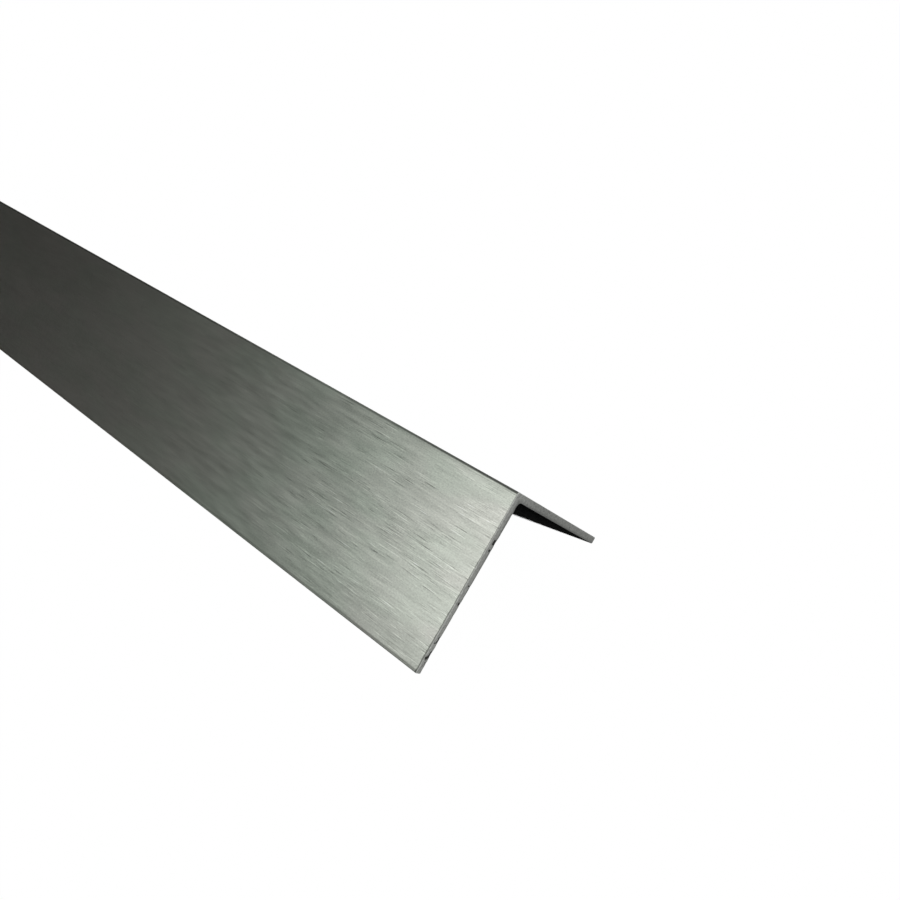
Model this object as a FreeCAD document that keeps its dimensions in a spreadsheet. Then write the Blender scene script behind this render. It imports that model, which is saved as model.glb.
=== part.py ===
"""Equal-leg metal angle section, one length of extruded bar, in millimetres.

The bar lies as it would on a level floor, heel up, on the inner corners of its two toes.
X runs along the bar, Z is up, and the origin is on the floor under the middle of the bar.

The section is drawn in its own axes, square to the legs: the outer corner of the heel is
the sketch's origin, leg b runs along +U and leg a along -V. The bar is turned into its
resting pose afterwards, by the angle that brings both toes down to the floor.
"""

import FreeCAD
import Part

import math
import os

import Sketcher
from FreeCAD import Vector

PARTS_FOLDER = "parts"
NODE = "angle_section"
SHEET = "sizes"

# The driving dimensions: alias, value in millimetres, what it is.
DRIVING_DIMENSIONS = [
    ("leg_a", 50.0, "width of the leg that faces the viewer, heel to toe, outside"),
    ("leg_b", 50.0, "width of the other leg, heel to toe, outside"),
    ("wall", 2.0, "thickness of both legs"),
    ("root_radius", 2.5, "fillet in the inside corner"),
    ("heel_radius", 0.5, "rounding of the outside corner"),
    ("toe_radius", 0.25, "rounding of the four toe corners"),
    ("end_break", 0.2, "bevel round the two sawn ends, where the burr was taken off"),
    ("bar_length", 1000.0, "length of the bar as sold"),
]

EDGE_TOLERANCE = 1e-4


def write_sizes(doc):
    """Put the driving dimensions in a sheet, one aliased cell each."""
    sheet = doc.addObject("Spreadsheet::Sheet", SHEET)
    for row, (alias, value, meaning) in enumerate(DRIVING_DIMENSIONS, start=1):
        sheet.set(f"A{row}", alias)
        sheet.set(f"B{row}", str(value))
        sheet.set(f"C{row}", meaning)
        sheet.setAlias(f"B{row}", alias)
    doc.recompute()
    return sheet


def section_corners(sheet):
    """The six corners of the L in sketch axes, heel first and clockwise, each with its radius's alias."""
    leg_a, leg_b, wall = sheet.leg_a, sheet.leg_b, sheet.wall
    return [
        (Vector(0, 0), "heel_radius"),
        (Vector(leg_b, 0), "toe_radius"),
        (Vector(leg_b, -wall), "toe_radius"),
        (Vector(wall, -wall), "root_radius"),
        (Vector(wall, -leg_a), "toe_radius"),
        (Vector(0, -leg_a), "toe_radius"),
    ]


def corner_arc(before, corner, after, radius):
    """The arc of that radius, tangent to both sides of a square corner, and its two end points."""
    into = (corner - before).normalize()
    out = (after - corner).normalize()
    start = corner - into * radius
    end = corner + out * radius
    centre = start + out * radius
    middle = centre + (corner - centre).normalize() * radius
    return Part.Arc(start, middle, end), start, end


def draw_section(body, sheet):
    """The die's profile: six straight sides joined by six tangent arcs, held by the sheet's sizes."""
    sketch = body.newObject("Sketcher::SketchObject", "section_profile")
    across_the_bar = next(f for f in body.Origin.OriginFeatures if f.Role == "YZ_Plane")
    sketch.AttachmentSupport = [(across_the_bar, "")]
    sketch.MapMode = "FlatFace"

    corners = section_corners(sheet)
    points = [corner for corner, _ in corners]
    count = len(corners)
    arcs = []
    for i, (corner, alias) in enumerate(corners):
        radius = getattr(sheet, alias)
        arcs.append(corner_arc(points[i - 1], corner, points[(i + 1) % count], radius))

    # Side i runs from corner i to corner i + 1, so it starts where arc i ends.
    for i in range(count):
        side = Part.LineSegment(arcs[i][2], arcs[(i + 1) % count][1])
        sketch.addGeometry(side, False)
    for arc, _, _ in arcs:
        sketch.addGeometry(arc, False)

    join_tangent(sketch, count)
    square_to_axes(sketch, points)
    hold_sizes(sketch, [alias for _, alias in corners])
    return sketch


def join_tangent(sketch, count):
    """Each side meets the arcs at its two ends with no kink."""
    line_start, line_end = 1, 2
    for i in range(count):
        own_arc = count + i
        next_arc = count + (i + 1) % count
        for line_point, arc in ((line_start, own_arc), (line_end, next_arc)):
            arc_point = nearest_end(sketch, arc, sketch.getPoint(i, line_point))
            sketch.addConstraint(Sketcher.Constraint("Tangent", i, line_point, arc, arc_point))


def nearest_end(sketch, arc, point):
    """Which end of a sketch arc, 1 or 2, lies at a point."""
    start, end = 1, 2
    to_start = (sketch.getPoint(arc, start) - point).Length
    to_end = (sketch.getPoint(arc, end) - point).Length
    return start if to_start < to_end else end


def square_to_axes(sketch, points):
    """Sides along leg b are horizontal in the sketch, and sides along leg a vertical."""
    for i, corner in enumerate(points):
        along = points[(i + 1) % len(points)] - corner
        kind = "Horizontal" if abs(along.x) > abs(along.y) else "Vertical"
        sketch.addConstraint(Sketcher.Constraint(kind, i))


def hold_sizes(sketch, radius_aliases):
    """Bind the legs, the wall and every radius to the sheet, so that nothing in the profile is free."""
    outer_b, toe_b, inner_b, inner_a, toe_a, outer_a = range(6)
    origin, origin_point, line_start = -1, 1, 1
    sketch.addConstraint(Sketcher.Constraint("PointOnObject", outer_b, line_start, -1))
    sketch.addConstraint(Sketcher.Constraint("PointOnObject", outer_a, line_start, -2))
    spans = [
        ("leg_b", "DistanceX", toe_b, "leg_b"),
        ("leg_a", "DistanceY", toe_a, "leg_a"),
        ("wall_of_a", "DistanceX", inner_a, "wall"),
        ("wall_of_b", "DistanceY", inner_b, "wall"),
    ]
    for name, kind, side, alias in spans:
        at = sketch.getPoint(side, line_start)
        if kind == "DistanceX":
            ends = (origin, origin_point, side, line_start)
            value = at.x
        else:
            ends = (side, line_start, origin, origin_point)
            value = -at.y
        bind(sketch, Sketcher.Constraint(kind, *ends, value), name, alias)
    for i, alias in enumerate(radius_aliases):
        arc = len(radius_aliases) + i
        radius = sketch.Geometry[arc].Radius
        bind(sketch, Sketcher.Constraint("Radius", arc, radius), f"corner_{i}_radius", alias)


def bind(sketch, constraint, name, alias):
    """Add a constraint under a name and drive it from a cell of the sheet."""
    index = sketch.addConstraint(constraint)
    sketch.renameConstraint(index, name)
    sketch.setExpression(f"Constraints.{name}", f"{SHEET}.{alias}")


def extrude(body, sketch):
    """Push the profile out to the bar's length, half to each side of the middle."""
    bar = body.newObject("PartDesign::Pad", "extruded_bar")
    bar.Profile = sketch
    bar.SideType = "Symmetric"
    bar.setExpression("Length", f"{SHEET}.bar_length")
    return bar


def end_edges(shape, half_length):
    """Names of the edges that lie in either sawn end face."""
    names = []
    for number, edge in enumerate(shape.Edges, start=1):
        box = edge.BoundBox
        in_one_plane = box.XLength < EDGE_TOLERANCE
        at_an_end = abs(abs(box.Center.x) - half_length) < EDGE_TOLERANCE
        if in_one_plane and at_an_end:
            names.append(f"Edge{number}")
    return names


def break_end_edges(body, bar, sheet):
    """Bevel the rim of both sawn ends, inside and out."""
    bevel = body.newObject("PartDesign::Chamfer", "deburred_ends")
    bevel.Base = (bar, end_edges(bar.Shape, sheet.bar_length / 2))
    bevel.setExpression("Size", f"{SHEET}.end_break")
    return bevel


def lie_on_toes(body):
    """Turn the bar about its length and lift it, so that both toes rest on the floor.

    The rounded inner corners of the toes touch the floor, so the line that joins the
    centres of those two arcs has to be level, one toe radius above it. Sideways, the
    bar is centred between its outermost points, the outer corners of the toes.
    """
    s = SHEET
    tilt = f"atan2({s}.leg_a - {s}.wall; {s}.leg_b - {s}.wall)"
    b_centre = f"({s}.leg_b - {s}.toe_radius)"
    a_centre = f"({s}.leg_a - {s}.toe_radius)"
    depth = f"({s}.wall - {s}.toe_radius)"
    lift = f"{s}.toe_radius + {b_centre} * sin({tilt}) + {depth} * cos({tilt})"
    reach_b = f"({b_centre} * cos({tilt}) - {s}.toe_radius * sin({tilt}))"
    reach_a = f"({a_centre} * sin({tilt}) - {s}.toe_radius * cos({tilt}))"
    body.Placement = FreeCAD.Placement(Vector(), FreeCAD.Rotation(Vector(1, 0, 0), -45))
    body.setExpression("Placement.Rotation.Angle", f"-{tilt}")
    body.setExpression("Placement.Base.y", f"({reach_a} - {reach_b}) / 2")
    body.setExpression("Placement.Base.z", lift)


def check(doc, body, sheet):
    """Stop on a failed feature, an open or invalid solid, a loose sketch or a bar that is off the floor."""
    for thing in doc.Objects:
        if "Invalid" in thing.State or "Error" in thing.State:
            raise RuntimeError(f"{thing.Name} failed: {thing.State}")
    shape = body.Shape
    if shape.isNull() or not shape.isValid() or len(shape.Solids) != 1:
        raise RuntimeError(f"{body.Label} isn't one valid solid")
    sketch = body.getObject("section_profile")
    if sketch.solve() != 0 or not sketch.FullyConstrained:
        raise RuntimeError("the section's sketch is loose or doesn't solve")
    if abs(shape.BoundBox.ZMin) > EDGE_TOLERANCE:
        raise RuntimeError(f"the bar rests {shape.BoundBox.ZMin} mm off the floor")
    plain = sheet.wall * (sheet.leg_a + sheet.leg_b - sheet.wall)
    lost_in_square = 1 - math.pi / 4
    fillet = lost_in_square * sheet.root_radius**2
    rounded = lost_in_square * (sheet.heel_radius**2 + 4 * sheet.toe_radius**2)
    area = shape.Volume / sheet.bar_length
    print(f"section {plain + fillet - rounded:.2f} mm2 as drawn, {area:.2f} mm2 as built")
    box = shape.BoundBox
    print(f"box {box.XLength:.2f} x {box.YLength:.2f} x {box.ZLength:.2f} mm")


def main():
    doc = FreeCAD.newDocument("metal_angle_section")
    sheet = write_sizes(doc)
    body = doc.addObject("PartDesign::Body", NODE)
    body.Label = NODE
    sketch = draw_section(body, sheet)
    bar = extrude(body, sketch)
    doc.recompute()
    break_end_edges(body, bar, sheet)
    lie_on_toes(body)
    doc.recompute()
    check(doc, body, sheet)
    os.makedirs(PARTS_FOLDER, exist_ok=True)
    body.Shape.exportStep(os.path.join(PARTS_FOLDER, f"{NODE}.step"))


main()
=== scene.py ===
"""The finish of a length of brushed aluminium angle, and the studio that it is pictured in.

Lengths are in metres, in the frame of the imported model: X runs along the bar, Y across it
and Z up, and the bar lies heel up on the inner corners of its two toes. A place in the
section is given as two distances from the sharp corner of the heel, one down each leg.
"""

import logging
import math
import random
from abc import ABC, abstractmethod
from dataclasses import dataclass, field
from enum import Enum

import bmesh
import bpy
from mathutils import Matrix, Vector


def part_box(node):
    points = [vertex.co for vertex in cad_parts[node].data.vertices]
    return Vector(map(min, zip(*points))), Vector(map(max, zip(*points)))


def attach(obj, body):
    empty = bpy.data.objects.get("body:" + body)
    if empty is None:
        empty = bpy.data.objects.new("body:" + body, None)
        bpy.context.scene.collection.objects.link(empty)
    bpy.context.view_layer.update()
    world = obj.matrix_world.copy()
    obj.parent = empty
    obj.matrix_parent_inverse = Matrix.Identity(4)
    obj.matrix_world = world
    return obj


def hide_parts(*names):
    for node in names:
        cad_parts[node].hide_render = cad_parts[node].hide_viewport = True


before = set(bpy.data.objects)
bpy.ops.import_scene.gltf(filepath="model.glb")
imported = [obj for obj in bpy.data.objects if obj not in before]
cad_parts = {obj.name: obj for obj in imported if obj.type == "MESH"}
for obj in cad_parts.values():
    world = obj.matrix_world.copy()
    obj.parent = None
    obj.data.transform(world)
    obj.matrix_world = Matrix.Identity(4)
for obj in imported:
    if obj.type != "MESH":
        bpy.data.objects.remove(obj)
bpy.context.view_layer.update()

LOG = logging.getLogger("angle_section")
MM = 0.001
NODE = "angle_section"
DENT = "dent"
HALF_ROOT = math.sqrt(0.5)
# The bar's own Z runs along it, because a shader's gloss is drawn out round the object's own Z.
LENGTHWISE = Matrix.Rotation(math.pi / 2, 4, "Y")

Colour = tuple[float, float, float]
# A number or signal for each socket of a shader node, by the socket's name.
Inputs = dict[str, "Signal | float"]
# How deep the rim is dented and how far its burr stands out, at each point of the outline.
Wear = list[tuple[float, float]]


class Signal:
    """One value inside a shader. Arithmetic on it adds the Math nodes that work it out."""

    def __init__(self, graph: "ShaderGraph", socket: bpy.types.NodeSocket) -> None:
        """Wrap a node's output.

        Args:
            graph: The shader that the socket belongs to.
            socket: The output to be read.
        """
        self.graph = graph
        self.socket = socket

    def math(self, operation: str, first: "Signal | float", second: "Signal | float" = 0.0) -> "Signal":
        """Add one Math node.

        Args:
            operation: The node's operation.
            first: Its first value.
            second: Its second value, where the operation has one.

        Returns:
            The node's result.
        """
        return self.graph.add("ShaderNodeMath", {"operation": operation}, {0: first, 1: second})

    def __add__(self, other: "Signal | float") -> "Signal":
        """Sum."""
        return self.math("ADD", self, other)

    def __radd__(self, other: float) -> "Signal":
        """Sum, with a plain number first."""
        return self.math("ADD", other, self)

    def __sub__(self, other: "Signal | float") -> "Signal":
        """Difference."""
        return self.math("SUBTRACT", self, other)

    def __rsub__(self, other: float) -> "Signal":
        """Difference, with a plain number first."""
        return self.math("SUBTRACT", other, self)

    def __mul__(self, other: "Signal | float") -> "Signal":
        """Product."""
        return self.math("MULTIPLY", self, other)

    def __rmul__(self, other: float) -> "Signal":
        """Product, with a plain number first."""
        return self.math("MULTIPLY", other, self)

    def __pow__(self, other: "Signal | float") -> "Signal":
        """Power."""
        return self.math("POWER", self, other)

    def __rpow__(self, other: float) -> "Signal":
        """Power of a plain number."""
        return self.math("POWER", other, self)

    def __abs__(self) -> "Signal":
        """Size without sign."""
        return self.math("ABSOLUTE", self)

    def __truediv__(self, other: "Signal | float") -> "Signal":
        """Quotient."""
        return self.math("DIVIDE", self, other)

    def beside(self, output: int | str) -> "Signal":
        """Another output of the same node."""
        return Signal(self.graph, self.socket.node.outputs[output])

    def at_most(self, other: "Signal | float") -> "Signal":
        """The smaller of the two."""
        return self.math("MINIMUM", self, other)

    def at_least(self, other: "Signal | float") -> "Signal":
        """The larger of the two."""
        return self.math("MAXIMUM", self, other)

    def rise(self, low: float, high: float) -> "Signal":
        """A smooth step of this value.

        Args:
            low: Where the step is 0.
            high: Where it is 1. It may be below low, and the step then falls.

        Returns:
            The step, from 0 to 1.
        """
        settings = {"interpolation_type": "SMOOTHSTEP"}
        inputs = {0: self, 1: low, 2: high, 3: 0.0, 4: 1.0}
        return self.graph.add("ShaderNodeMapRange", settings, inputs)


class ShaderGraph:
    """The node tree of a material or of the world."""

    def __init__(self, owner: bpy.types.Material | bpy.types.World) -> None:
        """Empty the owner's tree.

        Args:
            owner: The material or world whose nodes are made.
        """
        owner.use_nodes = True
        self.tree = owner.node_tree
        self.tree.nodes.clear()

    def add(
        self,
        kind: str,
        settings: dict | None = None,
        inputs: dict | None = None,
        output: int | str = 0,
    ) -> Signal:
        """Add a node, set it up and feed it.

        Args:
            kind: The node's type.
            settings: Its settings by name, which are set first.
            inputs: A number, colour or signal for each socket, by name or index.
            output: Which of its outputs is wanted.

        Returns:
            That output.
        """
        node = self.tree.nodes.new(kind)
        for name, value in (settings or {}).items():
            setattr(node, name, value)
        for name, value in (inputs or {}).items():
            if isinstance(value, Signal):
                self.tree.links.new(value.socket, node.inputs[name])
            else:
                node.inputs[name].default_value = value
        return Signal(self, node.outputs[output])

    def split(self, vector: Signal) -> tuple[Signal, Signal, Signal]:
        """The X, Y and Z of a vector.

        Args:
            vector: The vector to take apart.

        Returns:
            Its three parts.
        """
        x = self.add("ShaderNodeSeparateXYZ", inputs={0: vector})
        return x, x.beside(1), x.beside(2)

    def mix(self, share: Signal | float, first: Signal | Colour, second: Signal | Colour) -> Signal:
        """Mix two colours.

        Args:
            share: How much of the second one.
            first: The colour at a share of 0.
            second: The colour at a share of 1.

        Returns:
            The mixed colour.
        """
        colours = {
            socket: value if isinstance(value, Signal) else (*value, 1.0)
            for socket, value in ((6, first), (7, second))
        }
        return self.add("ShaderNodeMix", {"data_type": "RGBA"}, {0: share, **colours}, output=2)

    def tone(self, colour: Signal | Colour, level: Signal | float) -> Signal:
        """Make a colour darker or lighter.

        Args:
            colour: The colour at a level of 1.
            level: What its channels are multiplied by.

        Returns:
            The toned colour.
        """
        return self.add("ShaderNodeVectorMath", {"operation": "SCALE"}, {0: colour, "Scale": level})

    def bump(self, height: Signal, distance: float) -> Signal:
        """A normal that follows fine relief.

        Args:
            height: The relief, which spans 1 at most.
            distance: How deep that is, in metres.

        Returns:
            The bent normal.
        """
        inputs = {"Strength": 1.0, "Distance": distance, "Height": height}
        return self.add("ShaderNodeBump", None, inputs)

    def show(self, surface: Signal, output: str = "ShaderNodeOutputMaterial") -> None:
        """Wire a shader to an output node.

        Args:
            surface: The finished shader.
            output: The type of the output node.
        """
        node = self.tree.nodes.new(output)
        self.tree.links.new(surface.socket, node.inputs["Surface"])


@dataclass(frozen=True)
class Section:
    """The L that the die gives."""

    leg: float
    heel_height: float
    wall: float = 2.0 * MM
    heel_radius: float = 0.5 * MM
    root_radius: float = 2.5 * MM
    toe_radius: float = 0.25 * MM

    @classmethod
    def in_box(cls, low: Vector, high: Vector) -> "Section":
        """Work the legs out from the box of a bar that lies on its toes.

        Args:
            low: The box's lowest corner.
            high: The box's highest corner.

        Returns:
            The section whose toes just reach the sides of that box.
        """
        radius = cls.toe_radius
        leg = (high.y - radius) / HALF_ROOT + 2 * radius
        lift = radius + (leg - radius) * HALF_ROOT + (cls.wall - radius) * HALF_ROOT
        return cls(leg=leg, heel_height=low.z + lift)

    def at(self, down_b: float, down_a: float) -> Vector:
        """The point that far down each leg from the heel, as (y, z)."""
        heel = Vector((0.0, self.heel_height))
        return Vector((down_b - down_a, -down_a - down_b)) * HALF_ROOT + heel

    def distances(self, place: Vector) -> tuple[float, float]:
        """How far a point (y, z) lies down leg b and down leg a from the heel."""
        drop = self.heel_height - place.y
        return (drop + place.x) * HALF_ROOT, (drop - place.x) * HALF_ROOT

    def kept_in(self, place: Vector, depth: float) -> Vector:
        """Move a point that lies too near an outside face or a toe.

        Args:
            place: The point, as (y, z).
            depth: How far inside the metal it has to be.

        Returns:
            The nearest point that is far enough inside.
        """
        down_b, down_a = self.distances(place)
        past_root = self.wall + self.root_radius
        most_b = (self.wall if down_a > past_root else self.leg) - depth
        most_a = (self.wall if down_b > past_root else self.leg) - depth
        return self.at(min(max(down_b, depth), most_b), min(max(down_a, depth), most_a))


class Zone(Enum):
    """Which finish a stretch of the surface wears, in the order of the piece's materials."""

    BRUSHED = 0
    MILL = 1
    SAWN = 2


@dataclass(frozen=True)
class RimPoint:
    """A point on the section's outline."""

    place: Vector
    outward: Vector
    around: float
    zone: Zone

    def inset(self, depth: float) -> Vector:
        """The point that far inside the metal."""
        return self.place - self.outward * depth


@dataclass
class Outline:
    """The section as a closed loop of points: up leg a outside, down leg b, and back inside."""

    section: Section
    arc_steps: int = 10
    # The points of a straight side lie about a step apart, and its first and last are held to its arcs.
    step: float = 0.45 * MM
    hold: float = 0.08 * MM
    points: list[RimPoint] = field(default_factory=list)
    length: float = 0.0

    def __post_init__(self) -> None:
        """Walk round the six corners."""
        s = self.section
        far, thick = s.leg, s.wall
        brushed, mill = Zone.BRUSHED, Zone.MILL
        # Each corner's radius, whether it is hollow, and the finishes of its rounding and the side after.
        corners = [
            (s.at(0, far), s.toe_radius, False, brushed, brushed),
            (s.at(0, 0), s.heel_radius, False, brushed, brushed),
            (s.at(far, 0), s.toe_radius, False, brushed, mill),
            (s.at(far, thick), s.toe_radius, False, mill, mill),
            (s.at(thick, thick), s.root_radius, True, mill, mill),
            (s.at(thick, far), s.toe_radius, False, mill, mill),
        ]
        for i, (corner, radius, hollow, own_zone, next_zone) in enumerate(corners):
            following, next_radius = corners[(i + 1) % len(corners)][:2]
            into = (corner - corners[i - 1][0]).normalized()
            out = (following - corner).normalized()
            self.add_arc(corner, into, out, radius, hollow, own_zone)
            self.add_side(corner + out * radius, following - out * next_radius, next_zone)

    def add_arc(
        self, corner: Vector, into: Vector, out: Vector, radius: float, hollow: bool, zone: Zone
    ) -> None:
        """Round a corner.

        Args:
            corner: The sharp corner.
            into: The direction of the side before it.
            out: The direction of the side after it.
            radius: The radius of the rounding.
            hollow: Whether it is an inside corner, with the metal outside the arc.
            zone: The finish that it wears.
        """
        centre = corner - into * radius + out * radius
        for k in range(self.arc_steps + 1):
            turn = math.pi / 2 * k / self.arc_steps
            spoke = into * math.sin(turn) - out * math.cos(turn)
            self.add_point(centre + spoke * radius, -spoke if hollow else spoke, zone)

    def add_side(self, start: Vector, end: Vector, zone: Zone) -> None:
        """Run straight between two corners, with a point close to each to keep the shading flat.

        Args:
            start: Where the side leaves the arc before it.
            end: Where it meets the arc after it.
            zone: The finish that it wears.
        """
        along = end - start
        outward = self.points[-1].outward
        count = max(1, round((along.length - 2 * self.hold) / self.step))
        held = self.hold / along.length
        for k in range(count + 1):
            share = held + (1 - 2 * held) * k / count
            self.add_point(start + along * share, outward, zone)

    def add_point(self, place: Vector, outward: Vector, zone: Zone) -> None:
        """Put the next point on the loop, and count how far round it is."""
        if self.points:
            self.length += (place - self.points[-1].place).length
        self.points.append(RimPoint(place, outward, self.length, zone))

    def nearest(self, place: Vector) -> RimPoint:
        """The point of the loop that lies nearest to a place."""
        return min(self.points, key=lambda point: (point.place - place).length)


@dataclass
class RimWear:
    """The dents along the rim of a sawn end, and the burr on the inside edge of leg a."""

    outline: Outline
    seed: int
    # The small dents lie anywhere on the rim, and their width and depth vary between these.
    count: int = 34
    narrow: float = 0.25 * MM
    wide: float = 0.8 * MM
    shallow: float = 0.01 * MM
    usual: float = 0.035 * MM
    deep: float = 0.1 * MM
    # The larger dents on both edges of leg a: how many millimetres down the leg each lies, and its size.
    inside: tuple[tuple[float, float], ...] = (
        (13.7, 0.95),
        (15.9, 0.62),
        (25.9, 0.5),
        (30.8, 0.7),
        (40.0, 0.72),
        (41.1, 0.68),
        (44.8, 1.3),
        (46.9, 0.5),
    )
    outside: tuple[tuple[float, float], ...] = ((41.6, 0.5), (45.8, 0.75))
    # The burr is thickest beside the root and gone before the toe.
    burr: float = 0.6 * MM
    burr_starts: tuple[float, float] = (2.6 * MM, 4.5 * MM)
    burr_ends: tuple[float, float] = (40.0 * MM, 8.0 * MM)

    def __post_init__(self) -> None:
        """Draw each dent's place, width and depth."""
        draw = random.Random(self.seed)
        self.dents = [
            (
                draw.uniform(0, self.outline.length),
                draw.uniform(self.narrow, self.wide),
                draw.uniform(self.shallow, self.usual),
            )
            for _ in range(self.count)
        ]
        section = self.outline.section
        for down_b, known in ((section.wall, self.inside), (0.0, self.outside)):
            for down_a, size in known:
                nearest = self.outline.nearest(section.at(down_b, down_a * MM))
                self.dents.append((nearest.around, self.wide * size, self.deep * min(size, 1.0)))

    def bite(self, around: float) -> float:
        """How deep the rim is dented that far round the outline."""
        deepest = 0.0
        for place, width, depth in self.dents:
            off = (around - place) / width
            deepest = max(deepest, depth * math.exp(-off * off))
        return deepest

    def lip(self, point: RimPoint) -> float:
        """How far the burr stands out of the metal at a point of the outline."""
        section = self.outline.section
        down_b, down_a = section.distances(point.place)
        if down_b < section.wall / 2 or down_a < down_b:
            return 0.0
        (none, full), (gone, still_full) = self.burr_starts, self.burr_ends
        begins = min(max((down_a - none) / (full - none), 0.0), 1.0)
        lasts = min(max((gone - down_a) / (gone - still_full), 0.0), 1.0)
        return self.burr * begins * lasts


@dataclass
class AngleBar:
    """The bar itself: one extruded piece, sawn square at both ends."""

    section: Section
    half_length: float
    # The bevel of an end, and how far inside it the sawn face is flat.
    end_break: float = 0.2 * MM
    lid_margin: float = 0.6 * MM
    same_place: float = 0.001 * MM
    rim_seed: int = 17
    # Where the end's bevel meets the sides, a dent has this share of its depth.
    dent_share: float = 0.5
    # Painted shade reaches past each dent into the sawn face.
    dent_shade_spread: float = 1.7
    # Distances from a sawn end at which the bar has a ring of points.
    near_rings: tuple[float, ...] = (0.35 * MM, 0.8 * MM, 1.5 * MM, 3 * MM, 6 * MM, 12 * MM, 22 * MM)
    burr_length: float = 0.8 * MM
    ring_step: float = 40 * MM
    # On the unrolled drawing of the bar no stretch is narrower than this, so that the ends stay sharp.
    least_drawn: float = 2.5 * MM
    drawing_margin: float = 0.002
    # The share of the drawing's height that the bar's sides take, and the strip for the sawn faces above.
    unrolled: float = 0.93
    lid_strip: tuple[float, float] = (0.95, 0.99)
    lid_spans: tuple[tuple[float, float], ...] = ((0.01, 0.49), (0.51, 0.99))
    # The strip is this many walls thick, to take in the root fillet.
    strip_walls: float = 1.5

    def __post_init__(self) -> None:
        """Lay the outline out."""
        self.outline = Outline(self.section)

    def stations(self) -> list[float]:
        """The X of each ring between the two end bevels, from -X to +X."""
        inner = self.half_length - self.near_rings[-1]
        count = math.ceil(2 * inner / self.ring_step)
        middle = [-inner + 2 * inner * k / count for k in range(count + 1)]
        edge = self.half_length - self.end_break
        near = [self.half_length - off for off in reversed(self.near_rings[:-1])]
        return [-edge, *[-x for x in reversed(near)], *middle, *near, edge]

    def ring(
        self, mesh: bmesh.types.BMesh, x: float, inset: float, wear: Wear
    ) -> list[bmesh.types.BMVert]:
        """Make one ring of the outline.

        Args:
            mesh: The mesh that it goes in.
            x: Where it lies along the bar.
            inset: How far inside the section it lies.
            wear: The dents and the burr at each point.

        Returns:
            Its vertices, in the outline's order.
        """
        inward = -math.copysign(1.0, x)
        dent = mesh.verts.layers.float[DENT]
        made = []
        for point, (bite, lip) in zip(self.outline.points, wear):
            depth = inset + bite / 2 - lip
            y, z = self.section.kept_in(point.inset(depth), depth)
            vert = mesh.verts.new((x + inward * bite, y, z))
            vert[dent] = bite / RimWear.deep
            made.append(vert)
        return made

    def build(self) -> bpy.types.Object:
        """Build the bar's mesh.

        Returns:
            The object, with a material index on each face by zone.
        """
        mesh = bmesh.new()
        unroll = mesh.loops.layers.uv.new("OFBake")
        mesh.verts.layers.float.new(DENT)
        worn = {side: self.rim_wear(side) for side in (-1, 1)}
        rings = [self.ring(mesh, -self.half_length, self.end_break, worn[-1])]
        xs = self.stations()
        for x in xs:
            rings.append(self.ring(mesh, x, 0.0, self.wear_at(x, worn[-1 if x < 0 else 1])))
        rings.append(self.ring(mesh, self.half_length, self.end_break, worn[1]))
        marks = self.drawn_at([-self.half_length, *xs, self.half_length])
        for k, (first, second) in enumerate(zip(rings, rings[1:])):
            bevel = k in (0, len(rings) - 2)
            self.join(mesh, unroll, (first, second), (marks[k], marks[k + 1]), bevel)
        for side, rim in ((-1, rings[0]), (1, rings[-1])):
            self.close(mesh, unroll, side, rim)
        self.mark_sharp(mesh)
        mesh.transform(LENGTHWISE.inverted())
        data = bpy.data.meshes.new("brushed_angle")
        mesh.to_mesh(data)
        mesh.free()
        piece = bpy.data.objects.new("brushed_angle", data)
        piece.matrix_world = LENGTHWISE
        bpy.context.scene.collection.objects.link(piece)
        return piece

    def rim_wear(self, side: int) -> Wear:
        """The dents and the burr of the rim of one end."""
        worn = RimWear(self.outline, seed=self.rim_seed + side)
        return [(worn.bite(point.around), worn.lip(point)) for point in self.outline.points]

    def wear_at(self, x: float, rim: Wear) -> Wear:
        """How much of a rim's dents and burr is left at an X inside it."""
        off = self.half_length - abs(x)
        dented = self.dent_share if off < self.near_rings[0] else 0.0
        burred = max(0.0, 1 - off / self.burr_length)
        return [(bite * dented, lip * burred) for bite, lip in rim]

    def drawn_at(self, xs: list[float]) -> list[float]:
        """Where each ring lies on the unrolled drawing.

        Args:
            xs: The X of every ring, ends included.

        Returns:
            Their places on it, from just over 0 to just under 1.
        """
        widths = [max(b - a, self.least_drawn) for a, b in zip(xs, xs[1:])]
        total = sum(widths)
        margin = self.drawing_margin
        return [margin + (1 - 2 * margin) * sum(widths[:k]) / total for k in range(len(xs))]

    def join(
        self,
        mesh: bmesh.types.BMesh,
        unroll: bmesh.types.BMLayerItem,
        rings: tuple[list[bmesh.types.BMVert], list[bmesh.types.BMVert]],
        marks: tuple[float, float],
        bevel: bool,
    ) -> None:
        """Skin the stretch between two rings.

        Args:
            mesh: The mesh that holds them.
            unroll: The layer that the unrolled bar is drawn on.
            rings: The ring nearer -X and the one nearer +X.
            marks: Where the two lie on the drawing.
            bevel: Whether this stretch is the filed edge of an end.
        """
        first, second = rings
        near, far = marks
        points = self.outline.points
        count = len(points)
        seam = self.outline.length + (points[0].place - points[-1].place).length
        for i in range(count):
            j = (i + 1) % count
            face = mesh.faces.new((first[i], second[i], second[j], first[j]))
            face.smooth = True
            face.material_index = (Zone.SAWN if bevel else points[i].zone).value
            low, high = points[i].around, points[j].around if j else seam
            corners = ((near, low), (far, low), (far, high), (near, high))
            for loop, (along, around) in zip(face.loops, corners):
                loop[unroll].uv = (along, self.drawing_margin + self.unrolled * around / seam)

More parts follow.
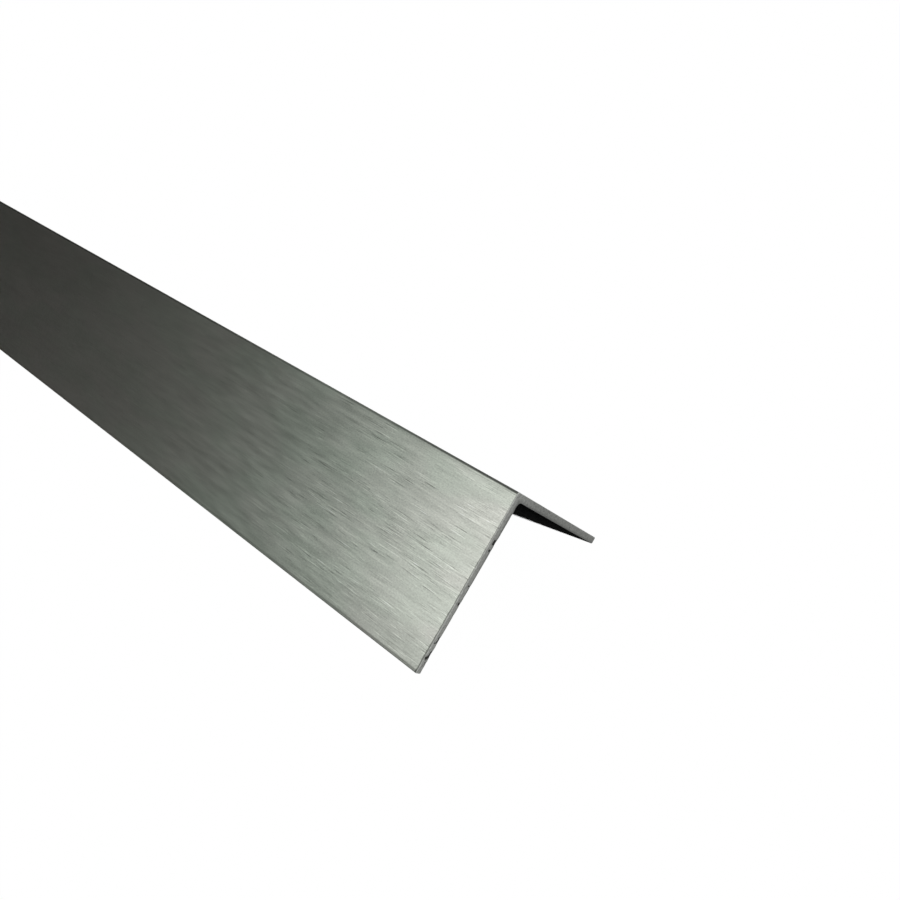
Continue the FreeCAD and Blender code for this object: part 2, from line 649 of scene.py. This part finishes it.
    def close(
        self,
        mesh: bmesh.types.BMesh,
        unroll: bmesh.types.BMLayerItem,
        side: int,
        rim: list[bmesh.types.BMVert],
    ) -> None:
        """Put the sawn face on one end, flat inside a narrow margin that takes up the dents.

        Args:
            mesh: The mesh that holds the rim.
            unroll: The layer that the face is drawn on, as a strip.
            side: -1 or 1, for the end at -X or +X.
            rim: The ring at the end of the bevel.
        """
        count = len(rim)
        whole = [(0.0, 0.0)] * count
        flat = self.ring(mesh, side * self.half_length, self.end_break + self.lid_margin, whole)
        dent = mesh.verts.layers.float[DENT]
        # The dents' painted shade reaches into the flat sawn face.
        for inner, outer in zip(flat, rim):
            inner[dent] = outer[dent] * self.dent_shade_spread
        for i in range(1, count):
            if (flat[i].co - flat[i - 1].co).length < self.same_place:
                mesh.verts.remove(flat[i])
                flat[i] = flat[i - 1]
        made = []
        for i in range(count):
            j = (i + 1) % count
            corners = tuple(dict.fromkeys((rim[i], flat[i], flat[j], rim[j])))
            made.append(mesh.faces.new(corners if side > 0 else corners[::-1]))
        edge = tuple(dict.fromkeys(flat))
        lid = mesh.faces.new(edge[::-1] if side > 0 else edge)
        made += bmesh.ops.triangulate(mesh, faces=[lid])["faces"]
        for face in made:
            face.material_index = Zone.SAWN.value
            for loop in face.loops:
                loop[unroll].uv = self.on_strip(side, loop.vert.co)

    def on_strip(self, side: int, place: Vector) -> tuple[float, float]:
        """Where a point of a sawn face lies on the drawing, with the L laid out straight."""
        down_b, down_a = self.section.distances(place.yz)
        left, right = self.lid_spans[(side + 1) // 2]
        low, high = self.lid_strip
        across = (down_b - down_a) / self.section.leg
        thick = min(down_a, down_b) / (self.strip_walls * self.section.wall)
        return left + (right - left) * (across + 1) / 2, low + (high - low) * thick

    @staticmethod
    def mark_sharp(mesh: bmesh.types.BMesh, limit: float = math.radians(30)) -> None:
        """Break the shading where two faces meet at more than the limit."""
        mesh.normal_update()
        for edge in mesh.edges:
            edge.smooth = len(edge.link_faces) == 2 and edge.calc_face_angle() < limit


@dataclass(frozen=True)
class Pattern:
    """Random tones in patches, whose sizes are in millimetres."""

    along: float
    across: float
    up: float
    # How many finer layers it has, and how far the endless pattern is shifted.
    detail: float
    shift: float

    @classmethod
    def streaks(cls, length: float, width: float, detail: float, shift: float) -> "Pattern":
        """Patches that are drawn out along the bar."""
        return cls(length, width, width, detail, shift)

    @classmethod
    def grains(cls, size: float, detail: float, shift: float) -> "Pattern":
        """Patches that are as long as they are wide."""
        return cls(size, size, size, detail, shift)


class BarPlace:
    """Where a point of the bar's surface lies, as signals in metres."""

    def __init__(self, graph: ShaderGraph, bar: AngleBar) -> None:
        """Work the distances out from the object's own coordinates.

        Args:
            graph: The shader that reads them.
            bar: The bar that wears it.
        """
        self.graph = graph
        self.leg = bar.section.leg
        self.point = graph.add("ShaderNodeTexCoord", output="Object")
        below, y, x = graph.split(self.point)
        drop = bar.section.heel_height + below
        down_a = (drop - y) * HALF_ROOT
        down_b = (drop + y) * HALF_ROOT
        self.from_heel = down_a.at_least(down_b)
        self.from_toe = bar.section.leg - self.from_heel
        self.under_skin = down_a.at_most(down_b)
        self.toward_a = down_a - down_b
        self.from_end = bar.half_length - abs(x)

    def tone(self, pattern: Pattern, lower: float = 0.0) -> Signal:
        """Random tones over the surface.

        Args:
            pattern: The kind of patches that they come in.
            lower: Reads the pattern that many patches lower down.

        Returns:
            The tone, 0.5 on average.
        """
        scale = tuple(1 / (size * MM) for size in (pattern.up, pattern.across, pattern.along))
        shift = (pattern.shift + lower, pattern.shift, pattern.shift)
        inputs = {0: self.point, 1: scale, 2: shift}
        where = self.graph.add("ShaderNodeVectorMath", {"operation": "MULTIPLY_ADD"}, inputs)
        inputs = {"Vector": where, "Scale": 1.0, "Detail": pattern.detail}
        return self.graph.add("ShaderNodeTexNoise", None, inputs)

    def swing(self, pattern: Pattern) -> Signal:
        """The same tones, 0 on average."""
        return self.tone(pattern) - 0.5

    def lit_and_shaded_scratches(self, pattern: Pattern, spread: float) -> Signal:
        """Sparse scratches along the bar, each a painted highlight line beside a painted shade line.

        Args:
            pattern: How long and wide a scratch is, and how broken up.
            spread: How far apart its two lines are, in widths.

        Returns:
            The tone, 0 on average and 0 between the scratches.
        """
        slope = self.tone(pattern) - self.tone(pattern, lower=spread)
        return slope * abs(slope)


class Finish(ABC):
    """What one kind of the bar's surface looks like."""

    name: str

    def material(self, bar: AngleBar) -> bpy.types.Material:
        """Make the finish for a bar.

        Args:
            bar: The bar that wears it.

        Returns:
            Its material.
        """
        made = bpy.data.materials.new(self.name)
        graph = ShaderGraph(made)
        inputs = self.inputs(graph, BarPlace(graph, bar))
        graph.show(graph.add("ShaderNodeBsdfPrincipled", None, inputs))
        return made

    @abstractmethod
    def inputs(self, graph: ShaderGraph, place: BarPlace) -> Inputs:
        """Work out what the metal looks like.

        Args:
            graph: The shader that it is worked out in.
            place: Where the shaded point lies.

        Returns:
            What is fed to the sockets of the shader node.
        """


@dataclass(frozen=True)
class BrushedFinish(Finish):
    """The satin outside faces: brushed along the bar, and scratched most near its handled ends."""

    name: str = "brushed_outside"
    # The metal, and its colour in faint patches.
    plain: Colour = (0.682, 0.686, 0.634)
    tinged: Colour = (0.66, 0.688, 0.622)
    tinges: Pattern = Pattern.streaks(20, 8, 1.0, 71.9)
    tinge_edge: tuple[float, float] = (0.35, 0.65)
    roughness: float = 0.37
    anisotropy: float = 0.8
    relief: float = 0.012 * MM
    # The marks of the brush and of wear, and how strongly each kind shows.
    hairs: Pattern = Pattern.streaks(30, 0.17, 1.0, 3.1)
    hair_gain: float = 0.14
    grain: Pattern = Pattern.streaks(0.55, 0.36, 1.0, 5.9)
    grain_gain: float = 0.52
    lines: Pattern = Pattern.streaks(16, 0.42, 1.0, 11.7)
    line_gain: float = 0.27
    smears: Pattern = Pattern.streaks(11, 1.5, 1.0, 23.9)
    smear_gain: float = 0.5
    clouds: Pattern = Pattern.streaks(32, 9, 1.0, 37.3)
    cloud_gain: float = 0.16
    # Scratches, each painted as a highlight line beside a shade line, come in clusters, with a few
    # between them.
    lit_and_shaded_scratches: Pattern = Pattern.streaks(6.0, 0.26, 2.0, 51.1)
    scratch_spread: float = 0.8
    scratch_shading_gain: float = 5.3
    clusters: Pattern = Pattern.streaks(11, 2.6, 1.0, 83.3)
    cluster_edge: tuple[float, float] = (0.42, 0.58)
    between_clusters: float = 0.15
    # How much lines and smears change the roughness, and the hairs' share of the relief.
    line_rough: float = 0.12
    smear_rough: float = 0.08
    hair_relief: float = 0.6
    # Fine marks fade between these distances from an end, and broad smears between the others.
    scratched: tuple[float, float] = (90 * MM, 40 * MM)
    smeared: tuple[float, float] = (170 * MM, 60 * MM)
    # This share of both is left further off.
    quiet: float = 0.18
    # The heel is a line of painted dark reflection, darkest near the ends, and the toes have a wider band
    # of painted shade.
    heel_line: float = 0.62 * MM
    heel_reflection_tone: tuple[float, float] = (0.15, 0.6)
    heel_reach: float = 80 * MM
    toe_band: float = 0.85 * MM
    toe_shade_tone: tuple[float, float] = (0.5, 0.85)
    toe_reach: float = 130 * MM
    band_blur: float = 0.25
    # Near the ends the face is a little duller beside both edges, too.
    heel_shoulder: float = 2.2 * MM
    toe_shoulder: float = 14 * MM
    shoulder_loss: float = 0.22
    # The rim of each sawn face is rubbed bare, more so towards the toes, with a ragged border.
    rubbed: tuple[float, float] = (0.25 * MM, 0.6 * MM)
    rubbed_tone: float = 0.36
    rub_blur: float = 0.15
    ragged: Pattern = Pattern.grains(1.2, 1.0, 97.1)
    raggedness: float = 0.6

    def inputs(self, graph: ShaderGraph, place: BarPlace) -> Inputs:
        """Work out what the brushed metal looks like.

        Args:
            graph: The shader that it is worked out in.
            place: Where the shaded point lies.

        Returns:
            What is fed to the sockets of the shader node.
        """
        hair = place.swing(self.hairs)
        line = place.swing(self.lines)
        smear = place.swing(self.smears)
        cluster = place.tone(self.clusters).rise(*self.cluster_edge)
        # Each scratch is a painted highlight beside a painted shade, thickest in the clusters.
        scratch_shading = place.lit_and_shaded_scratches(self.lit_and_shaded_scratches, self.scratch_spread) * (self.between_clusters + cluster)
        fine = self.quiet + place.from_end.rise(*self.scratched) * (1 - self.quiet)
        broad = self.quiet + place.from_end.rise(*self.smeared) * (1 - self.quiet)
        marks = scratch_shading * self.scratch_shading_gain + hair * self.hair_gain + line * self.line_gain
        marks = marks + place.swing(self.grain) * self.grain_gain
        tone = 1 + fine * marks + broad * smear * self.smear_gain
        tone = (tone + place.swing(self.clouds) * self.cloud_gain) * self.edges(place)
        metal = graph.mix(place.tone(self.tinges).rise(*self.tinge_edge), self.plain, self.tinged)
        rough = self.roughness + fine * line * self.line_rough + broad * smear * self.smear_rough
        height = hair * self.hair_relief + line * (1 - self.hair_relief)
        return {
            "Base Color": graph.tone(metal, tone),
            "Metallic": 1.0,
            "Roughness": rough,
            "Anisotropic": self.anisotropy,
            "Normal": graph.bump(height, self.relief),
        }

    def edges(self, place: BarPlace) -> Signal:
        """How bright the metal is at its edges and beside them.

        Args:
            place: Where the shaded point lies.

        Returns:
            The tone, 1 away from the edges.
        """
        tone = 1
        # The heel's painted dark reflection and the toes' painted shade, and the darker shoulders beside
        # them, all strongest near the ends.
        for distance, width, (near, far), reach, shoulder in (
            (place.from_heel, self.heel_line, self.heel_reflection_tone, self.heel_reach, self.heel_shoulder),
            (place.from_toe, self.toe_band, self.toe_shade_tone, self.toe_reach, self.toe_shoulder),
        ):
            along = place.from_end.rise(0, reach)
            inside = distance.rise(width * (1 + self.band_blur), width * (1 - self.band_blur))
            tone = tone * (1 - inside * (1 - near - along * (far - near)))
            tone = tone * (1 - distance.rise(shoulder, 0) * (1 - along) * self.shoulder_loss)
        near, far = self.rubbed
        ragged = 1 + place.swing(self.ragged) * self.raggedness
        width = ragged * (near + place.from_heel * ((far - near) / place.leg))
        bare = (place.from_end / width).rise(1 + self.rub_blur, 1 - self.rub_blur)
        return tone * (1 - bare * (1 - self.rubbed_tone))


@dataclass(frozen=True)
class MillFinish(Finish):
    """The inside faces and the toes' edges, as they left the die: dull, with faint drawing lines."""

    name: str = "mill_inside"
    metal: Colour = (0.47, 0.485, 0.465)
    roughness: float = 0.34
    anisotropy: float = 0.6
    relief: float = 0.008 * MM
    # The marks of the die, and how strongly each kind shows.
    drawing: Pattern = Pattern.streaks(180, 0.5, 2.0, 5.3)
    drawing_gain: float = 0.4
    hairs: Pattern = Pattern.streaks(60, 0.18, 1.0, 17.9)
    hair_gain: float = 0.25
    clouds: Pattern = Pattern.streaks(30, 14, 2.0, 29.7)
    cloud_gain: float = 0.25
    # How much clouds and drawing lines change the roughness, and those lines' share of the relief.
    cloud_rough: float = 0.12
    drawing_rough: float = 0.08
    drawing_relief: float = 0.7

    def inputs(self, graph: ShaderGraph, place: BarPlace) -> Inputs:
        """Work out what the plain metal looks like.

        Args:
            graph: The shader that it is worked out in.
            place: Where the shaded point lies.

        Returns:
            What is fed to the sockets of the shader node.
        """
        drawn = place.swing(self.drawing)
        hair = place.swing(self.hairs)
        cloud = place.swing(self.clouds)
        tone = 1 + drawn * self.drawing_gain + hair * self.hair_gain + cloud * self.cloud_gain
        height = drawn * self.drawing_relief + hair * (1 - self.drawing_relief)
        return {
            "Base Color": graph.tone(self.metal, tone),
            "Metallic": 1.0,
            "Roughness": self.roughness + cloud * self.cloud_rough + drawn * self.drawing_rough,
            "Anisotropic": self.anisotropy,
            "Normal": graph.bump(height, self.relief),
        }


@dataclass(frozen=True)
class SawnFinish(Finish):
    """The sawn ends and their filed edges: matt, mottled, with the saw's marks across."""

    name: str = "sawn_end"
    metal: Colour = (0.53, 0.542, 0.514)
    dirt_and_shade_colour: Colour = (0.07, 0.07, 0.065)
    roughness: float = 0.52
    relief: float = 0.03 * MM
    saw_marks: Pattern = Pattern(2, 5, 0.22, 2.0, 61.3)
    mark_gain: float = 0.5
    mark_relief: float = 0.6
    mottling: Pattern = Pattern.grains(0.7, 3.0, 7.7)
    mottle_gain: float = 0.9
    mottle_rough: float = 0.2
    # Leg a came off the saw brighter than leg b. The tone turns between these two, past the heel.
    turn_to_a: tuple[float, float] = (-14 * MM, 5 * MM)
    leg_a_gain: float = 0.3
    # Both legs are darker along their inside edge.
    inside_edge: tuple[float, float] = (1.2 * MM, 2.1 * MM)
    inside_loss: float = 0.35
    # Painted shade fills the dents, with a ragged border, and dirt lies thinly in a few specks.
    dent_shade_edge: tuple[float, float] = (0.35, 0.8)
    dent_shade_ragged: float = 0.5
    specks: Pattern = Pattern.grains(0.5, 1.0, 19.3)
    speck_edge: tuple[float, float] = (0.66, 0.74)
    speck_dirt: float = 0.4

    def inputs(self, graph: ShaderGraph, place: BarPlace) -> Inputs:
        """Work out what the sawn metal looks like.

        Args:
            graph: The shader that it is worked out in.
            place: Where the shaded point lies.

        Returns:
            What is fed to the sockets of the shader node.
        """
        marks = place.swing(self.saw_marks)
        mottle = place.swing(self.mottling)
        specks = place.tone(self.specks).rise(*self.speck_edge)
        on_a = place.toward_a.rise(*self.turn_to_a)
        inside = place.under_skin.rise(*self.inside_edge)
        tone = 1 + mottle * self.mottle_gain + marks * self.mark_gain
        tone = tone * (1 + on_a * self.leg_a_gain) * (1 - inside * self.inside_loss)
        dent = graph.add("ShaderNodeAttribute", {"attribute_name": DENT}, output="Fac")
        # Painted shade in the dents, and dirt in a few specks.
        dent_shade = (dent + mottle * self.dent_shade_ragged).rise(*self.dent_shade_edge)
        dirt_and_shade = (specks * self.speck_dirt).at_least(dent_shade)
        height = marks * self.mark_relief + mottle * (1 - self.mark_relief)
        return {
            "Base Color": graph.mix(dirt_and_shade, graph.tone(self.metal, tone), self.dirt_and_shade_colour),
            "Metallic": 1.0,
            "Roughness": self.roughness + mottle * self.mottle_rough,
            "Normal": graph.bump(height, self.relief),
        }


@dataclass
class Studio:
    """A pale floor under a white sky and one sun. In the metal, it is dark past the bar's far end."""

    floor_half: float = 8.0
    floor_colour: Colour = (1.0, 1.0, 1.0)
    floor_scatter: float = 0.03
    # In the metal, the floor is less dark at the far end than the sky, and part of it shows in shade too.
    floor_dark: float = 0.6
    floor_glow: float = 0.45
    sky: Colour = (1.0, 1.0, 1.0)
    # What the sky gives to surfaces that scatter light.
    fill: float = 0.008
    to_sun: tuple[float, float, float] = (0.686, -0.429, 0.588)
    sun_angle: float = math.radians(1.0)
    # Seen from this spot, the dark end fades out away from the bar's line.
    bar_spot: float = 0.43
    clear_lean: float = 0.53
    fade: float = 17.2
    fade_less: float = 18.0
    # It dims towards the floor, and a little towards the zenith.
    lift: tuple[float, float] = (-0.1, 0.9)
    dim_low: float = 0.52
    bright_high: float = 1.6
    zenith: tuple[float, float] = (0.64, 0.92)
    zenith_loss: float = 0.3
    # It is dimmer on the side that the near end faces.
    near_side: tuple[float, float] = (0.38, 0.05)
    near_loss: float = 0.42
    # Between the bright side and the dark end it has a green cast, and past that a faint warm one.
    green: Colour = (0.79, 1.0, 0.87)
    warm: Colour = (1.067, 1.0, 0.997)
    green_from: tuple[float, float] = (0.545, 0.585)
    warm_from: tuple[float, float] = (0.676, 0.712)

    def build(self) -> None:
        """Set the world, the floor and the sun up."""
        self.light_sky()
        self.lay_floor()
        self.hang_sun()
        bpy.context.scene.view_settings.view_transform = "Standard"

    def light_sky(self) -> None:
        """Make the world white to the camera, graded in the metal, and a faint plain fill elsewhere."""
        world = bpy.data.worlds.new("studio_sky")
        bpy.context.scene.world = world
        world.cycles.sampling_method = "NONE"
        graph = ShaderGraph(world)
        seen, mirrored, scattered = self.rays(graph)
        toward = graph.add("ShaderNodeTexCoord", output="Generated")
        plain = graph.tone(self.sky, seen + scattered * self.fill)
        colour = graph.mix(mirrored, plain, self.surround(graph, toward, 1.0))
        graph.show(graph.add("ShaderNodeBackground", None, {"Color": colour}), "ShaderNodeOutputWorld")

    def lay_floor(self) -> None:
        """Lay the floor under the bar."""
        made = bpy.data.materials.new("studio_floor")
        graph = ShaderGraph(made)
        seen, mirrored, scattered = self.rays(graph)
        point = graph.add("ShaderNodeTexCoord", output="Object")
        spot = {0: point, 1: (self.bar_spot, 0.0, 0.0)}
        toward = graph.add("ShaderNodeVectorMath", {"operation": "SUBTRACT"}, spot)
        plain = graph.tone(self.floor_colour, seen + scattered * self.floor_scatter)
        reflected = self.surround(graph, toward, self.floor_dark)
        lit = graph.tone(reflected, 1 - self.floor_glow)
        inputs = {
            "Base Color": graph.mix(mirrored, plain, lit),
            "Roughness": 1.0,
            "Specular IOR Level": 0.0,
            "Emission Color": graph.tone(reflected, mirrored),
            "Emission Strength": self.floor_glow,
        }
        graph.show(graph.add("ShaderNodeBsdfPrincipled", None, inputs))
        half = self.floor_half
        corners = [(-half, -half, 0), (half, -half, 0), (half, half, 0), (-half, half, 0)]
        self.sheet("studio_floor", corners, made)

    @staticmethod
    def rays(graph: ShaderGraph) -> tuple[Signal, Signal, Signal]:
        """Tell apart the rays that meet the studio.

        Args:
            graph: The shader that reads them.

        Returns:
            Whether the camera looks straight at it, or in the metal, or a matt surface takes its light.
        """
        camera = graph.add("ShaderNodeLightPath", output="Is Camera Ray")
        seen = camera + camera.beside("Is Transmission Ray")
        mirrored = camera.beside("Is Glossy Ray") * (1 - camera.beside("Diffuse Depth").at_most(1))
        return seen, mirrored, (1 - seen - mirrored).at_least(0)

    def hang_sun(self) -> None:
        """Hang the sun so that a white floor in its light is just white."""
        way = Vector(self.to_sun).normalized()
        lamp = bpy.data.lights.new("studio_sun", "SUN")
        lamp.energy = (1 - self.fill) * math.pi / way.z
        lamp.angle = self.sun_angle
        holder = bpy.data.objects.new("studio_sun", lamp)
        holder.rotation_euler = way.to_track_quat("Z", "Y").to_euler()
        holder.visible_glossy = False
        bpy.context.scene.collection.objects.link(holder)

    def surround(self, graph: ShaderGraph, toward: Signal, dark: float) -> Signal:
        """What the studio looks like in the metal.

        Args:
            graph: The shader that reads it.
            toward: Which way the mirrored ray goes.
            dark: How dark the far end gets, 1 for nearly black.

        Returns:
            The colour, near black along the bar's line and about white halfway up elsewhere.
        """
        x, y, z = graph.split(toward)
        reach = (x * x + y * y + z * z) ** 0.5
        lean, climb = -1 * x / reach, z / reach
        past = (lean - self.clear_lean).at_least(0)
        dark_end = math.e ** (past * (past * self.fade_less - self.fade))
        level = (1 - dark + dark_end * dark) * (1 - climb.rise(*self.zenith) * self.zenith_loss)
        level = level * (self.dim_low + climb.rise(*self.lift) * (self.bright_high - self.dim_low))
        level = level * (1 - lean.rise(*self.near_side) * self.near_loss)
        tint = graph.mix(lean.rise(*self.green_from), self.sky, self.green)
        return graph.tone(graph.mix(lean.rise(*self.warm_from), tint, self.warm), level)

    @staticmethod
    def sheet(name: str, corners: list[tuple[float, float, float]], worn: bpy.types.Material) -> None:
        """Make a flat sheet of the studio's, which is no part of the bar.

        Args:
            name: Its name.
            corners: Its four corners.
            worn: Its material.
        """
        data = bpy.data.meshes.new(name)
        data.from_pydata(corners, [], [(0, 1, 2, 3)])
        data.materials.append(worn)
        made = bpy.data.objects.new(name, data)
        bpy.context.scene.collection.objects.link(made)


@dataclass
class ProductCamera:
    """The camera at the photograph's angle, set by where the near end's sharp corner shows."""

    azimuth: float = math.radians(44.56)
    elevation: float = math.radians(34.53)
    picture: float = 900.0
    focal: float = 919.6
    sensor: float = 36.0
    corner_pixel: tuple[float, float] = (519.17, 492.24)
    corner_depth: float = 0.22104
    nearest_seen: float = 10 * MM

    def build(self, corner: Vector) -> bpy.types.Object:
        """Place the camera.

        Args:
            corner: The sharp corner of the heel at the near end.

        Returns:
            The camera, which is also the scene's.
        """
        turn, rise = self.azimuth, self.elevation
        right = Vector((math.cos(turn), math.sin(turn), 0.0))
        back = Vector((math.sin(turn) * math.cos(rise), -math.cos(turn) * math.cos(rise), math.sin(rise)))
        up = back.cross(right)
        across, down = ((pixel - self.picture / 2) / self.focal for pixel in self.corner_pixel)
        to_corner = right * across - up * down - back
        data = bpy.data.cameras.new("product_camera")
        data.sensor_width = self.sensor
        data.lens = self.sensor * self.focal / self.picture
        data.clip_start = self.nearest_seen
        made = bpy.data.objects.new("product_camera", data)
        turned = Matrix((right, up, back)).transposed().to_quaternion()
        made.matrix_world = Matrix.LocRotScale(corner - to_corner * self.corner_depth, turned, None)
        bpy.context.scene.collection.objects.link(made)
        bpy.context.scene.camera = made
        return made


def main() -> None:
    """Build the bar, dress it, light it and aim the camera."""
    low, high = (Vector(corner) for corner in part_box(NODE))
    bar = AngleBar(Section.in_box(low, high), half_length=high.x)
    piece = bar.build()
    for finish in (BrushedFinish(), MillFinish(), SawnFinish()):
        piece.data.materials.append(finish.material(bar))
    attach(piece, "root")
    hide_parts(NODE)
    LOG.info("bar: %d faces, leg %.2f mm", len(piece.data.polygons), bar.section.leg / MM)
    Studio().build()
    LOG.info("studio: floor, sky and sun")
    camera = ProductCamera().build(Vector((bar.half_length, 0.0, bar.section.heel_height)))
    LOG.info("camera: at %s", tuple(round(x, 4) for x in camera.matrix_world.translation))


if __name__ == "__main__":
    logging.basicConfig(level=logging.INFO, format="%(name)s: %(message)s")
    main()
